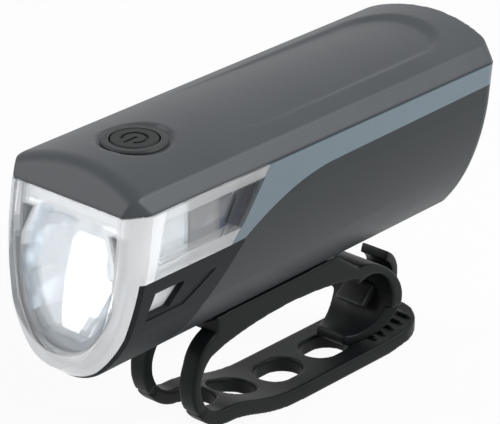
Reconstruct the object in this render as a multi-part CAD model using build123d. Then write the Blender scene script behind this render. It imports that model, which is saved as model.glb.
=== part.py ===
from build123d import *
from functools import cache
import math
import os

os.makedirs("parts", exist_ok=True)

# Lamp body. Until each piece is placed, Z is zero at the seam under the top cover,
# Y is zero at that seam's front edge and runs to the rear, and X is zero in the middle.
body_width = 34.0
body_wall = 1.6
seam_gap = 0.12
fit_gap = 0.1
soft_gap = 0.3
overrun = 8.0

# Lower body section: straight side, leaning side, knee, haunch and round bottom
side_straight = 8.0
knee_half_width = 14.1
knee_depth_front = 24.2
knee_rise_rear = 3.6
knee_lean = 22.0
side_swell = 0.55
haunch_swell = 0.5
bottom_radius = 13.0
haunch_angle = 38.0
bottom_depth_front = 35.2
bottom_rise_rear = 1.4

# Front face and rear face
front_lean = 8.3
front_cut_side = 3.3
front_cut_back = 4.6
rear_lean = 8.0
rear_bow_radius = 52.0
rear_round = 3.2
least_round = 0.4
inner_round = 0.8

# Top cover
cover_height = 6.1
crown_radius = 43.5
cover_loft_height = 6.6
cover_front_inset = 4.0
cover_side_inset = 4.0
cover_rear_inset = 1.2
cover_facet_height = 3.6
cover_rear_corner = 2.4
crest_radius = 4.0

# Shallow panel pressed into the cover's top: nothing at its front, deepest at its rear
panel_depth = 0.9
panel_half_width = 13.2
panel_front = 34.0
panel_rear_margin = 9.5
panel_corner = 8.0
panel_slope = 3.4
panel_height = 2.4
panel_base_height = 4.2

# Power button and the switch under it
button_place = 17.7
button_diameter = 9.0
button_travel = 0.6
button_flange = 0.7
button_flange_diameter = 10.6
button_top_drop = 0.1
button_round = 0.3
button_stem_diameter = 3.0
ring_outer_diameter = 12.6
ring_round = 0.5
ring_top_drop = 0.2
ring_spigot_diameter = 11.0
ring_spigot_length = 1.0
ring_bore_diameter = 9.6
dish_diameter = 14.4
dish_depth = 0.9
symbol_radius = 2.3
symbol_line = 0.6
symbol_depth = 0.3
symbol_gap_angle = 75.0
# Where the symbol's bar starts and ends, as shares of its radius towards the front
symbol_bar_shares = (-0.28, 1.2)
switch_size = 6.0
switch_height = 1.7
plunger_diameter = 2.6

# Clear lens
lens_face = 2.0
lens_rim_depth = 3.8
lens_side_depth = 13.0
lens_wing_top = 35.7
lens_wing_bottom = 25.6
lens_sleeve_rear = 23.0
lens_sleeve_wall = 0.9
lens_wall = body_wall + fit_gap + lens_sleeve_wall
window_front_bottom = 5.9
window_front_top = 7.8
window_rear_top = 27.0
window_rear_bottom = 22.4
window_top = 2.1
window_bottom = 10.2
window_depth = 0.4
window_corner = 1.2

# Dark front frame under the lens wings
frame_rear_top = 29.4
frame_rear_mid = 20.8
frame_mid_depth = 24.0
frame_rear_bottom = 13.5
slot_front_top = 5.8
slot_rear_top = 14.4
slot_rear_bottom = 10.6
slot_front_bottom = 4.3
slot_top = 15.8
slot_bottom = 20.6
slot_corner = 0.7
hollow_rear = 22.2
hollow_top = 16.4
hollow_bottom = 21.4
hollow_depth = 0.3

# Coloured trim strip along each side
trim_thickness = 0.9
trim_tip = 29.4
trim_tip_depth = 12.8
trim_knee = 40.9
trim_knee_depth = 7.3
trim_waist = 54.0
trim_waist_depth = 5.1
trim_rear_depth = 4.3
trim_rear_margin = 3.6

# Reflector: a faceted scoop under a flat shelf, open to the front
bowl_half_width = 12.0
bowl_length = 16.5
bowl_depth = 24.0
bowl_wall = 1.0
bowl_top_depth = 3.8
shelf_thickness = 1.0
shelf_rear = 15.5
fascia_top_depth = 1.2
skirt_thickness = 0.8
optic_clearance = 0.3
# Each slice of the scoop as shares of its depth, half width and length
scoop_slice_shares = [
    (0.0, 0.74, 0.84), (0.27, 0.97, 0.72), (0.6, 1.0, 0.52), (0.85, 0.72, 0.3), (1.0, 0.4, 0.2)
]
# Corners of one slice as shares of its half width and length
scoop_corner_shares = [(-1.0, 0.5), (-0.42, 1.0), (0.42, 1.0), (1.0, 0.5)]

# Grey carrier behind the reflector
carrier_wall = 1.2
carrier_front = 16.0
carrier_rear = 23.8

# Lamp chip facing down into the scoop, its board and the heat sink above
chip_size = 3.4
chip_thickness = 0.8
chip_dome_radius = 1.3
chip_place = 8.0
chip_board_thickness = 1.0
chip_board_half_width = 6.5
chip_board_length = 13.0
sink_top_depth = 1.7
sink_thickness = 1.0
sink_half_width = 9.0
sink_front = 3.2
sink_drop_depth = 14.0
sink_drop_rear = 22.2
sink_fin_count = 6
sink_fin_length = 3.0
sink_fin_thickness = 0.8

# Circuit board under the cover
board_thickness = 1.2
board_half_width = 10.0
board_front = 11.0
board_rear = 60.0
board_top = 0.5
board_corner = 1.0
board_front_post = 14.0
board_post_diameter = 4.0
board_post_inset = 3.0
board_screw_diameter = 1.6
board_screw_head = 2.9
board_screw_head_height = 0.8
board_screw_length = 4.4

# Battery cell and the cradle it lies in
cell_diameter = 18.4
cell_length = 65.0
cell_front = 26.6
cell_rear_room = 13.4
cell_axis_depth = 16.6
cell_cap_diameter = 6.0
cell_cap_height = 1.0
cradle_rib_thickness = 2.0
cradle_rib_count = 4
cradle_margin = 4.0
cradle_top_depth = 14.0
cradle_floor_depth = 27.2
cradle_floor = 1.0
contact_thickness = 0.4
contact_width = 8.0
contact_height = 9.0
lead_diameter = 1.2
lead_pitch = 5.0
lead_run_depth = 4.6
lead_bend = 2.0
lead_board_inset = 3.0

# Charging socket and its rubber flap in the rear face
socket_depth = 12.0
socket_width = 8.9
socket_height = 3.2
socket_length = 6.6
socket_wall = 0.35
socket_tongue = 0.7
socket_tongue_width = 6.6
socket_set_back = 0.3
charge_board_thickness = 1.2
charge_board_half_width = 8.0
charge_board_height = 12.0
flap_width = 15.0
flap_height = 9.0
flap_thickness = 1.2
flap_corner = 1.5
flap_gap = 0.15
flap_lip_half_width = 2.4
flap_lip_height = 0.9
flap_plug_length = 0.8
flap_pad_thickness = 3.4
flap_pad_margin = 1.5

# Seals, and the housing's ledge and stop that carry them
cover_seal_width = 1.4
cover_seal_height = 1.2
ledge_height = 1.4
lens_seal_width = 1.1
lens_seal_length = 1.4
stop_length = 1.2

# Key slot in the lamp's underside and the hard base whose key slides into it
key_half_width = 5.2
key_cover = 4.2
key_thickness = 1.4
key_neck_half_width = 3.2
key_front = 36.0
key_length = 20.0
key_travel = 22.0
key_block_roof = 1.5
key_block_side = 2.0
key_block_end = 1.5
base_half_width = 6.6
base_front = 31.0
base_rear = 64.0
base_thickness = 1.0
base_gap = 0.15

# Rubber saddle with its two front arms. A drop is measured down from the lamp's underside at its front.
strap_width = 16.7
arm_width = 4.1
loop_centre = 33.0
loop_drop = 10.5
loop_inner_radius = 6.8
loop_outer_centre = 33.8
loop_outer_drop = 10.7
loop_outer_radius = 9.9
arm_fork = 37.0
arch_crown = 54.0
arch_crown_drop = 1.8
saddle_front = 25.0
saddle_shoulder = 26.5
saddle_shoulder_drop = 3.0
saddle_brow = 30.5
saddle_brow_drop = 0.4
saddle_rear = 61.0
saddle_rear_rise = 6.2
saddle_heel = 71.9
saddle_heel_drop = 1.7
saddle_arch_end = 71.0
saddle_arch_end_drop = 3.8

# Curl at the saddle's rear, ending in a tongue that narrows to its tip
curl_centre = 75.0
curl_drop = 11.6
curl_radius = 7.1
curl_shoulder = 82.3
curl_shoulder_drop = 6.2
curl_rear = 85.3
curl_rear_drop = 12.0
curl_heel = 83.6
curl_heel_drop = 17.0
tongue_root = 79.0
tongue_root_rise = 0.6
tongue_tip = 72.6
tongue_tip_thickness = 1.2
tongue_tip_half_width = 3.6
tongue_taper_rear = 86.0
tongue_taper_drop = 14.3

# Rubber tail with its holes and grip ribs
tail_split_angle = 215.0
tail_rise = 44.0
tail_rise_share = 0.6
tail_top_drop = 21.0
tail_flat_front = 55.0
tail_flat_rear = 82.0
tail_thickness = 3.2
tail_end = 94.6
tail_end_thickness = 2.8
tail_end_rise = 1.4
hole_count = 3
hole_first = 43.4
hole_pitch = 13.7
hole_length = 10.6
hole_width = 8.2
rib_count = 5
rib_pitch = 2.6
rib_length = 6.0
rib_height = 0.6
rib_width = 1.2
rib_first = 80.0

# Hard hook that the strap's holes slip over
hook_half_width = 3.5
hook_thickness = 1.9
hook_top = 86.3
hook_top_drop = 4.7
hook_bend = 88.4
hook_bend_drop = 6.4
hook_rear = 89.6
hook_rear_drop = 10.2
hook_foot = 88.0
hook_foot_drop = 14.4
bridge_top_drop = 10.4
bridge_bottom_drop = 13.4
claw_tip = 77.9
claw_tip_drop = 13.8
claw_heel = 79.3
claw_heel_drop = 14.9

# Sizes that follow from those above
half_body = body_width / 2
cell_rear = cell_front + cell_length
body_length = cell_rear + cell_rear_room
panel_rear = body_length - panel_rear_margin
lean_tangent = math.tan(math.radians(front_lean))
lean_cosine = math.cos(math.radians(front_lean))
deep = bottom_depth_front + overrun
half_strap = strap_width / 2
lamp_front = (front_cut_side * lean_cosine - bottom_depth_front) * lean_tangent
frame_middle = (body_length + lamp_front) / 2
rear_tangent = math.tan(math.radians(rear_lean))
board_bottom = board_top - board_thickness
sink_bottom = -sink_top_depth - sink_thickness
chip_board_bottom = sink_bottom - chip_board_thickness
optic_inset = lens_wall + optic_clearance
optic_face = lens_face + optic_clearance
carrier_bulkhead = carrier_rear - carrier_wall
socket_skin = body_length - socket_depth * rear_tangent
socket_mouth = socket_skin - flap_thickness - flap_plug_length - socket_set_back
socket_rear = socket_mouth - socket_length
key_rear = key_front + key_length
slot_front = key_front - fit_gap
slot_rear = key_rear + key_travel + fit_gap
pocket_front = key_front + key_travel - fit_gap
key_top_depth = bottom_depth_front - key_cover
head_bottom = -key_top_depth - key_thickness
arm_gap = half_strap - arm_width
loop_depth = bottom_depth_front + loop_drop
loop_outer_depth = bottom_depth_front + loop_outer_drop
arch_crown_depth = bottom_depth_front + arch_crown_drop
saddle_heel_depth = bottom_depth_front + saddle_heel_drop
saddle_arch_end_depth = bottom_depth_front + saddle_arch_end_drop
curl_depth = bottom_depth_front + curl_drop
curl_shoulder_depth = bottom_depth_front + curl_shoulder_drop
curl_rear_depth = bottom_depth_front + curl_rear_drop
curl_heel_depth = bottom_depth_front + curl_heel_drop
tongue_taper_depth = bottom_depth_front + tongue_taper_drop
tail_top_depth = bottom_depth_front + tail_top_drop
hook_top_depth = bottom_depth_front + hook_top_drop
hook_bend_depth = bottom_depth_front + hook_bend_drop
hook_rear_depth = bottom_depth_front + hook_rear_drop
hook_foot_depth = bottom_depth_front + hook_foot_drop
hook_bridge_top = bottom_depth_front + bridge_top_drop
hook_bridge_bottom = bottom_depth_front + bridge_bottom_drop
claw_tip_depth = bottom_depth_front + claw_tip_drop
claw_heel_depth = bottom_depth_front + claw_heel_drop
base_bottom_depth = bottom_depth_front + base_thickness
saddle_rear_depth = bottom_depth_front - saddle_rear_rise
saddle_shoulder_depth = bottom_depth_front + saddle_shoulder_drop
saddle_brow_depth = bottom_depth_front + saddle_brow_drop
tongue_tip_depth = tail_top_depth - soft_gap
tongue_root_depth = tongue_tip_depth - tongue_root_rise
tail_bottom_depth = tail_top_depth + tail_thickness
FRAME = Pos(0, -frame_middle, tail_bottom_depth)


def side_face(points):
    """Face in the side view from (y, z) corners."""
    return Plane.YZ * make_face(Polyline(*points, close=True))


def across(face, half_width):
    """Solid drawn both ways along X from a side-view face."""
    return extrude(face, amount=half_width, both=True)


def block(x_range, y_range, z_range):
    """Box between two corners."""
    lows, highs = zip(x_range, y_range, z_range)
    middle = [(low + high) / 2 for low, high in zip(lows, highs)]
    return Pos(*middle) * Box(*[high - low for low, high in zip(lows, highs)])


def upright(diameter, low, high, x=0.0, y=0.0):
    """Round post along Z between two heights."""
    return Pos(x, y, (low + high) / 2) * Cylinder(diameter / 2, high - low)


def inward(x, depth, lean, inset):
    """Point of the section moved in from the skin, square to a wall that leans by lean degrees."""
    angle = math.radians(lean)
    return (x - inset * math.cos(angle), -depth + inset * math.sin(angle))


def section_face(y, knee_depth, bottom_depth, inset):
    """Cross section of the lower body at one place along its length."""
    turn = math.radians(haunch_angle)
    haunch_depth = bottom_depth - bottom_radius * (1 - math.cos(turn))
    shoulder = (half_body - inset, -side_straight)
    knee = inward(knee_half_width, knee_depth, knee_lean, inset)
    haunch = inward(bottom_radius * math.sin(turn), haunch_depth, 90 - haunch_angle, inset)
    right = (
        Line((half_body - inset, overrun), shoulder)
        + SagittaArc(shoulder, knee, side_swell)
        + SagittaArc(knee, haunch, haunch_swell)
    )
    bottom = ThreePointArc(haunch, (0, inset - bottom_depth), (-haunch[0], haunch[1]))
    roof = Line((inset - half_body, overrun), (half_body - inset, overrun))
    return Plane.XZ.offset(-y) * make_face(right + bottom + mirror(right, Plane.YZ) + roof)


def front_cut(inset):
    """How far the cut front corners reach sideways and back once the skin has moved in by inset."""
    across_cut = math.hypot(front_cut_side, front_cut_back)
    side = front_cut_side - inset * (1 + (front_cut_side - across_cut) / front_cut_back)
    back = front_cut_back - inset * (1 + (front_cut_back - across_cut) / front_cut_side)
    return side, back


def front_plane(inset):
    """Plane of the leaning front face, facing forward."""
    return Plane(origin=(0, inset / lean_cosine, 0), z_dir=(0, -lean_cosine, lean_cosine * lean_tangent))


def rear_waste(inset):
    """What the bowed, leaning rear face cuts away."""
    tall = 2 * deep + 2 * overrun
    bow = Cylinder(rear_bow_radius - inset, tall)
    reach = rear_bow_radius / math.cos(math.radians(rear_lean))
    bow = Pos(0, body_length - reach, 0) * Rot(X=-rear_lean) * bow
    start = body_length - rear_bow_radius / 2
    return block((-body_width, body_width), (start, body_length + 2 * overrun), (-deep, 2 * overrun)) - bow


@cache
def lower_form(inset, face_inset=None):
    """Body under the cover as one solid with its skin moved in by inset.

    Its top stands above the seam, and an inner form keeps its rear corners sharp.
    """
    face_inset = inset if face_inset is None else face_inset
    front = section_face(-overrun, knee_depth_front, bottom_depth_front, inset)
    knee_depth_rear = knee_depth_front - knee_rise_rear
    bottom_depth_rear = bottom_depth_front - bottom_rise_rear
    rear = section_face(body_length + overrun, knee_depth_rear, bottom_depth_rear, inset)
    form = loft([front, rear], ruled=True)
    form = split(form, bisect_by=front_plane(face_inset), keep=Keep.BOTTOM)
    form -= rear_waste(inset)
    face = form.faces().sort_by(Axis.Y)[0]
    side, back = front_cut(max(inset, 0))
    form = chamfer(face.edges().sort_by(Axis.Z)[:-1], side, back, reference=face)
    if inset > 0:
        return form
    rear_edges = form.faces().sort_by(Axis.Y)[-1].edges().sort_by(Axis.Z)[:-1]
    return fillet(rear_edges, rear_round - inset)


def below_seam(form, gap=0.0):
    """The part of a form that lies under the cover's seam."""
    return split(form, bisect_by=Plane.XY.offset(-gap), keep=Keep.BOTTOM)


def corner_plane(side, inset):
    """Plane that cuts one front corner of the cover, facing out."""
    rise_share = cover_facet_height / cover_loft_height
    back = front_cut_back / lean_cosine
    apex = (half_body - rise_share * cover_side_inset, rise_share * cover_front_inset, cover_facet_height)
    start = Vector(side * (half_body - front_cut_side), 0, 0)
    along = Vector(side * half_body, back, 0) - start
    up = Vector(side * apex[0], apex[1], apex[2]) - start
    facing = (along.cross(up) * side).normalized()
    return Plane(origin=start - facing * inset, z_dir=facing)


def cut_corners(shape, inset):
    """Takes both front corners off a shape of the cover."""
    for side in (-1, 1):
        shape = split(shape, bisect_by=corner_plane(side, inset), keep=Keep.BOTTOM)
    return shape


def outline_face(z, inset, front_in, side_in, rear_in, rear_corner):
    """Plan outline of the cover at one height, with square front corners and a bowed rear edge."""
    x = half_body - inset - side_in
    front = front_in + inset
    rear = body_length - inset - rear_in
    drop = rear_bow_radius - math.sqrt(rear_bow_radius**2 - x**2)
    outline = Polyline((x, rear - drop), (x, front), (-x, front), (-x, rear - drop))
    face = make_face(outline + ThreePointArc((-x, rear - drop), (0, rear), (x, rear - drop)))
    corners = face.vertices().sort_by(Axis.Y)
    return Pos(0, 0, z) * fillet(corners[-2:], max(rear_corner - inset, least_round))


def seam_face(inset):
    """Plan outline at the seam, before its front corners are cut."""
    return outline_face(0, inset, 0, 0, 0, rear_round)


def seam_prism(inset, low, high):
    """The seam's outline as a solid between two heights."""
    return cut_corners(Pos(0, 0, low) * extrude(seam_face(inset), amount=high - low), inset)


def crown(inset):
    """Long cylinder whose top is the cover's crown."""
    radius = crown_radius - inset
    tube = Rot(X=90) * Cylinder(radius, 2 * body_length + 2 * overrun)
    return Pos(0, body_length / 2, cover_height - crown_radius) * tube


@cache
def cover_form(inset):
    """Top cover as one solid with its skin moved in by inset."""
    top = outline_face(
        cover_loft_height, inset, cover_front_inset, cover_side_inset, cover_rear_inset, cover_rear_corner
    )
    form = loft([seam_face(inset), top], ruled=True)
    form = form & crown(inset)
    crest = form.faces().sort_by(Axis.Z)[-1].edges().sort_by(Axis.Y)[0]
    return cut_corners(fillet(crest, inner_round if inset > 0 else crest_radius), inset)


def rim_line(depth):
    """Where the lens rim's rear edge lies at one depth."""
    return lens_rim_depth / lean_cosine - depth * lean_tangent


def lens_region():
    """Side view of the clear lens: the rim round the front face and a wing along each side."""
    return side_face([
        (-body_width, -seam_gap),
        (lens_wing_top, -seam_gap),
        (lens_wing_bottom, -lens_side_depth),
        (rim_line(lens_side_depth), -lens_side_depth),
        (rim_line(deep), -deep),
        (-body_width, -deep),
    ])


def frame_region():
    """Side view of the dark frame under the lens wings."""
    return side_face([
        (rim_line(lens_side_depth), -lens_side_depth),
        (frame_rear_top, -lens_side_depth),
        (frame_rear_mid, -frame_mid_depth),
        (frame_rear_bottom, -deep),
        (rim_line(deep), -deep),
    ])


def trim_region():
    """Side view of the trim strip, which fills the space behind the lens wing."""
    rear = body_length - trim_rear_margin
    lower_edge = ThreePointArc(
        (trim_tip, -trim_tip_depth), (trim_knee, -trim_knee_depth), (trim_waist, -trim_waist_depth)
    )
    rest = Polyline(
        (trim_waist, -trim_waist_depth),
        (rear, -trim_rear_depth),
        (rear, -seam_gap),
        (lens_wing_top, -seam_gap),
        (lens_wing_bottom, -lens_side_depth),
        (trim_tip, -trim_tip_depth),
    )
    return Plane.YZ * make_face(lower_edge + rest)


def shrunk(face, gap):
    """Side-view region with a seam's width taken off all round."""
    return offset(face, amount=-gap, kind=Kind.INTERSECTION)


def button_axis(low, high, diameter):
    """Round solid on the power button's axis."""
    return upright(diameter, low, high, y=button_place)


def panel_plan(z, widening):
    """Plan outline of the panel at one height."""
    width = 2 * (panel_half_width + widening)
    length = panel_rear - panel_front + 2 * widening
    plan = RectangleRounded(width, length, panel_corner + widening)
    return Pos(0, (panel_front + panel_rear) / 2, z) * plan


def panel_recess():
    """Panel with sloping walls over a floor that sinks towards the rear."""
    top = panel_base_height + panel_height
    walls = loft([panel_plan(panel_base_height, -panel_slope), panel_plan(top, panel_slope)])
    sink = math.degrees(math.atan(panel_depth / (panel_rear - panel_front)))
    pivot = Pos(0, panel_front, cover_height)
    return walls - pivot * Rot(X=-sink) * pivot.inverse() * crown(0)


def make_top_cover():
    hollow = cover_form(body_wall) + seam_prism(body_wall, -overrun, 0)
    shell = cover_form(0) - hollow - panel_recess()
    floor = cover_height - dish_depth
    shell -= button_axis(floor, floor + overrun, dish_diameter)
    shell -= button_axis(0, floor, ring_spigot_diameter)
    for x, y in board_posts():
        shell += upright(board_post_diameter, board_top, cover_height - body_wall, x, y)
    for x, y in board_posts():
        shell -= upright(board_screw_diameter, -overrun, board_top + board_screw_length, x, y)
    return shell


def board_posts():
    """Places of the posts that carry the circuit board."""
    x = board_half_width - board_post_inset
    return [(side * x, y) for side in (-1, 1) for y in (board_front_post, board_rear - board_post_inset)]


def make_front_lens():
    outside = below_seam(lower_form(0), seam_gap)
    visible = outside & across(shrunk(lens_region(), seam_gap / 2), body_width)
    sleeve = below_seam(lower_form(body_wall + fit_gap), seam_gap)
    sleeve = sleeve & block(
        (-body_width, body_width), (rim_line(deep), lens_sleeve_rear), (-deep, -seam_gap)
    )
    lens = visible + sleeve - lower_form(lens_wall, lens_face)
    for side in (-1, 1):
        lens -= window_panel(side)
    return lens


def window_panel(side):
    """Shallow sunk panel in one wing of the lens."""
    plan = side_face([
        (window_front_bottom, -window_bottom),
        (window_front_top, -window_top),
        (window_rear_top, -window_top),
        (window_rear_bottom, -window_bottom),
    ])
    plan = fillet(plan.vertices(), window_corner)
    return extrude(Pos(side * (half_body - window_depth), 0, 0) * plan, amount=side * overrun)


def make_front_frame():
    skin = below_seam(lower_form(0)) - lower_form(body_wall)
    frame = skin & across(shrunk(frame_region(), seam_gap / 2), body_width)
    slot = side_face([
        (slot_front_top, -slot_top),
        (slot_rear_top, -slot_top),
        (slot_rear_bottom, -slot_bottom),
        (slot_front_bottom, -slot_bottom),
    ])
    slot = fillet(slot.vertices(), slot_corner)
    hollow = side_face([
        (slot_front_top, -slot_top),
        (hollow_rear, -hollow_top),
        (slot_rear_top, -hollow_bottom),
        (slot_front_bottom, -hollow_bottom),
    ])
    return frame - across(slot, body_width) - (across(hollow, body_width) - lower_form(hollow_depth))


def make_side_trim(side):
    layer = below_seam(lower_form(0)) - lower_form(trim_thickness)
    strips = (layer & across(shrunk(trim_region(), seam_gap / 2), body_width)).solids()
    return strips.sort_by(Axis.X)[0 if side < 0 else -1]


def slice_face(share_row, inset):
    """One level slice of the scoop, run out past the lamp's front."""
    depth_share, width_share, length_share = share_row
    x = bowl_half_width * width_share - inset
    y = bowl_length * length_share - inset
    corners = [(x * x_share, y * y_share) for x_share, y_share in scoop_corner_shares]
    outline = Polyline((-x, -overrun), *corners, (x, -overrun), close=True)
    return Pos(0, 0, -bowl_top_depth - bowl_depth * depth_share) * make_face(outline)


def scoop_form(inset):
    """Faceted scoop as one solid with its skin moved in by inset."""
    form = loft([slice_face(row, inset) for row in scoop_slice_shares], ruled=True)
    floor = inset - bowl_top_depth - bowl_depth
    return split(form, bisect_by=Plane.XY.offset(floor), keep=Keep.TOP)


def make_reflector():
    x = 2 * bowl_half_width
    shelf = block((-x, x), (-overrun, shelf_rear), (-bowl_top_depth - shelf_thickness, -bowl_top_depth))
    outside = lower_form(optic_inset, optic_face)
    form = (scoop_form(0) + shelf) & outside
    skirt = outside - lower_form(optic_inset + skirt_thickness, optic_face + skirt_thickness)
    form += skirt & block((-x, x), (-overrun, shelf_rear), (-deep, -lens_side_depth))
    sides = outside - lower_form(optic_inset + skirt_thickness, -overrun)
    form += sides & block((-x, x), (-overrun, shelf_rear), (-lens_side_depth, -fascia_top_depth))
    fascia_rear = sink_front - optic_clearance
    fascia_height = (-bowl_top_depth, -fascia_top_depth)
    form += outside & block((-x, x), (fascia_rear - shelf_thickness, fascia_rear), fascia_height)
    return form - scoop_form(bowl_wall)


def make_optic_carrier():
    outside = lower_form(optic_inset) & block(
        (-body_width, body_width), (carrier_front, carrier_rear), (-deep, sink_bottom)
    )
    space = lower_form(optic_inset + carrier_wall) & block(
        (-body_width, body_width), (-overrun, carrier_bulkhead), (-deep, overrun)
    )
    return outside - space


def make_heat_sink():
    wide = (-sink_half_width, sink_half_width)
    drop_front = sink_drop_rear - sink_thickness
    sink = block(wide, (sink_front, carrier_rear), (sink_bottom, -sink_top_depth))
    sink += block(wide, (drop_front, sink_drop_rear), (-sink_drop_depth, sink_bottom))
    pitch = (2 * sink_half_width - sink_fin_thickness) / (sink_fin_count - 1)
    for index in range(sink_fin_count):
        left = index * pitch - sink_half_width
        sink += block(
            (left, left + sink_fin_thickness),
            (drop_front - sink_fin_length, drop_front),
            (-sink_drop_depth, sink_bottom),
        )
    return sink


def make_led_board():
    return block(
        (-chip_board_half_width, chip_board_half_width),
        (sink_front, sink_front + chip_board_length),
        (chip_board_bottom, sink_bottom),
    )


def make_led_emitter():
    half = chip_size / 2
    bottom = chip_board_bottom - chip_thickness
    chip = block((-half, half), (chip_place - half, chip_place + half), (bottom, chip_board_bottom))
    dome = Pos(0, chip_place, bottom) * Sphere(chip_dome_radius)
    return chip + (dome & block((-half, half), (chip_place - half, chip_place + half), (-deep, bottom)))


def make_main_board():
    plan = Pos(0, (board_front + board_rear) / 2) * RectangleRounded(
        2 * board_half_width, board_rear - board_front, board_corner
    )
    board = Pos(0, 0, board_bottom) * extrude(plan, amount=board_thickness)
    for x, y in board_posts():
        board -= upright(board_screw_diameter + 2 * fit_gap, board_bottom, board_top, x, y)
    return board


def make_board_screws():
    """Four screws from below into the cover's posts."""
    screws = []
    for x, y in board_posts():
        head = upright(board_screw_head, board_bottom - board_screw_head_height, board_bottom, x, y)
        shank = upright(board_screw_diameter, board_bottom, board_bottom + board_screw_length, x, y)
        screws.append(head + shank)
    return Compound(children=screws)


def make_tactile_switch():
    half = switch_size / 2
    body = block(
        (-half, half), (button_place - half, button_place + half), (board_top, board_top + switch_height)
    )
    return body - button_axis(board_top, board_top + switch_height, plunger_diameter + 2 * fit_gap)


def make_switch_plunger():
    bottom = board_top + button_travel + fit_gap
    return button_axis(bottom, bottom + switch_height, plunger_diameter)


def power_symbol(top):
    """Power symbol to cut into the button: an open ring with a bar through its gap."""
    line = symbol_line / 2
    ring = Circle(symbol_radius + line) - Circle(symbol_radius - line)
    reach = 2 * symbol_radius
    half_gap = math.radians(symbol_gap_angle / 2)
    ring -= make_face(Polyline(
        (0, 0),
        (-reach * math.sin(half_gap), -reach * math.cos(half_gap)),
        (reach * math.sin(half_gap), -reach * math.cos(half_gap)),
        close=True,
    ))
    start, stop = [share * symbol_radius for share in symbol_bar_shares]
    bar = Pos(0, -(start + stop) / 2) * Rectangle(symbol_line, stop - start)
    return Pos(0, button_place, top - symbol_depth) * extrude(ring + bar, amount=overrun)


def make_power_button():
    top = cover_height - button_top_drop
    bottom = board_top + switch_height + button_travel + fit_gap
    ring_bottom = cover_height - dish_depth - ring_spigot_length
    flange_top = ring_bottom - soft_gap
    disc = button_axis(flange_top - button_flange, top, button_diameter)
    disc = fillet(disc.edges().sort_by(Axis.Z)[-1], button_round)
    button = disc + button_axis(flange_top - button_flange, flange_top, button_flange_diameter)
    button += button_axis(bottom, flange_top, button_stem_diameter)
    return button - power_symbol(top)


def make_button_seal():
    floor = cover_height - dish_depth
    ring = button_axis(floor, cover_height - ring_top_drop, ring_outer_diameter)
    ring = fillet(ring.edges().sort_by(Axis.Z)[-1], ring_round)
    ring += button_axis(floor - ring_spigot_length, floor, ring_spigot_diameter)
    return ring - button_axis(floor - overrun, floor + overrun, ring_bore_diameter)


def cell_axis(radius, y_range):
    """Round solid on the battery's axis between two places along the lamp."""
    low, high = y_range
    return Pos(0, (low + high) / 2, -cell_axis_depth) * Rot(X=90) * Cylinder(radius, high - low)


def make_battery_cell():
    cell = cell_axis(cell_diameter / 2, (cell_front, cell_rear))
    return cell + cell_axis(cell_cap_diameter / 2, (cell_front - cell_cap_height, cell_front))


def make_battery_cradle():
    """Ribs that hold the cell, joined by a floor that clears the key block."""
    first = cell_front + cradle_margin
    last = cell_rear - cradle_margin - cradle_rib_thickness
    wide = (-body_width, body_width)
    floor_range = (-cradle_floor_depth - cradle_floor, -cradle_floor_depth)
    cradle = block(wide, (first, last + cradle_rib_thickness), floor_range)
    for index in range(cradle_rib_count):
        y = first + index * (last - first) / (cradle_rib_count - 1)
        cradle += block(wide, (y, y + cradle_rib_thickness), (-deep, -cradle_top_depth))
    cradle = cradle & lower_form(body_wall + fit_gap)
    cradle -= cell_axis(cell_diameter / 2 + fit_gap, (cell_front, cell_rear))
    return cradle - key_block(fit_gap)


def make_cell_contacts():
    """One plate on each end of the cell."""
    half = contact_width / 2
    height = contact_height / 2
    z_range = (-cell_axis_depth - height, height - cell_axis_depth)
    tip = cell_front - cell_cap_height
    return Compound(children=[
        block((-half, half), (tip - contact_thickness, tip), z_range),
        block((-half, half), (cell_rear, cell_rear + contact_thickness), z_range),
    ])


def wire(points):
    """Round wire along straight runs joined by bends."""
    path = FilletPolyline(*points, radius=lead_bend)
    section = Plane(origin=points[0], z_dir=path % 0) * Circle(lead_diameter / 2)
    return sweep(section, path=path)


def make_battery_leads():
    """A lead from each contact up to the board."""
    x = lead_pitch / 2
    front = cell_front - cell_cap_height - contact_thickness - lead_diameter / 2
    rear = cell_rear + contact_thickness + lead_diameter / 2
    end = board_rear - lead_board_inset
    return Compound(children=[
        upright(lead_diameter, -cell_axis_depth, board_bottom, x, front),
        wire([
            (-x, rear, -cell_axis_depth),
            (-x, rear, -lead_run_depth),
            (-x, end, -lead_run_depth),
            (-x, end, board_bottom),
        ]),
    ])


def make_charge_board():
    half = charge_board_height / 2
    return block(
        (-charge_board_half_width, charge_board_half_width),
        (socket_rear - charge_board_thickness, socket_rear),
        (-socket_depth - half, half - socket_depth),
    )


def socket_prism(width, height, y_range):
    """Solid with the charging socket's round-ended section."""
    low, high = y_range
    section = Plane.XZ.offset(-high) * Pos(0, -socket_depth) * SlotOverall(width, height)
    return extrude(section, amount=high - low)


def make_usb_socket():
    inside_width = socket_width - 2 * socket_wall
    inside_height = socket_height - 2 * socket_wall
    shell = socket_prism(socket_width, socket_height, (socket_rear, socket_mouth))
    shell -= socket_prism(inside_width, inside_height, (socket_rear + socket_wall, socket_mouth))
    half = socket_tongue_width / 2
    return shell + block(
        (-half, half),
        (socket_rear, socket_mouth - socket_set_back),
        (-socket_depth - socket_tongue / 2, socket_tongue / 2 - socket_depth),
    )


def flap_prism(gap):
    """Outline of the socket's flap with its pull lip, run through the rear wall."""
    plan = RectangleRounded(flap_width + 2 * gap, flap_height + 2 * gap, flap_corner + gap)
    plan += Pos(0, (flap_height + flap_lip_height) / 2) * Rectangle(
        2 * flap_lip_half_width + 2 * gap, flap_lip_height + 2 * gap
    )
    face = Plane.XZ.offset(-body_length - overrun) * Pos(0, -socket_depth) * plan
    return extrude(face, amount=body_length - cell_rear + overrun)


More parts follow.
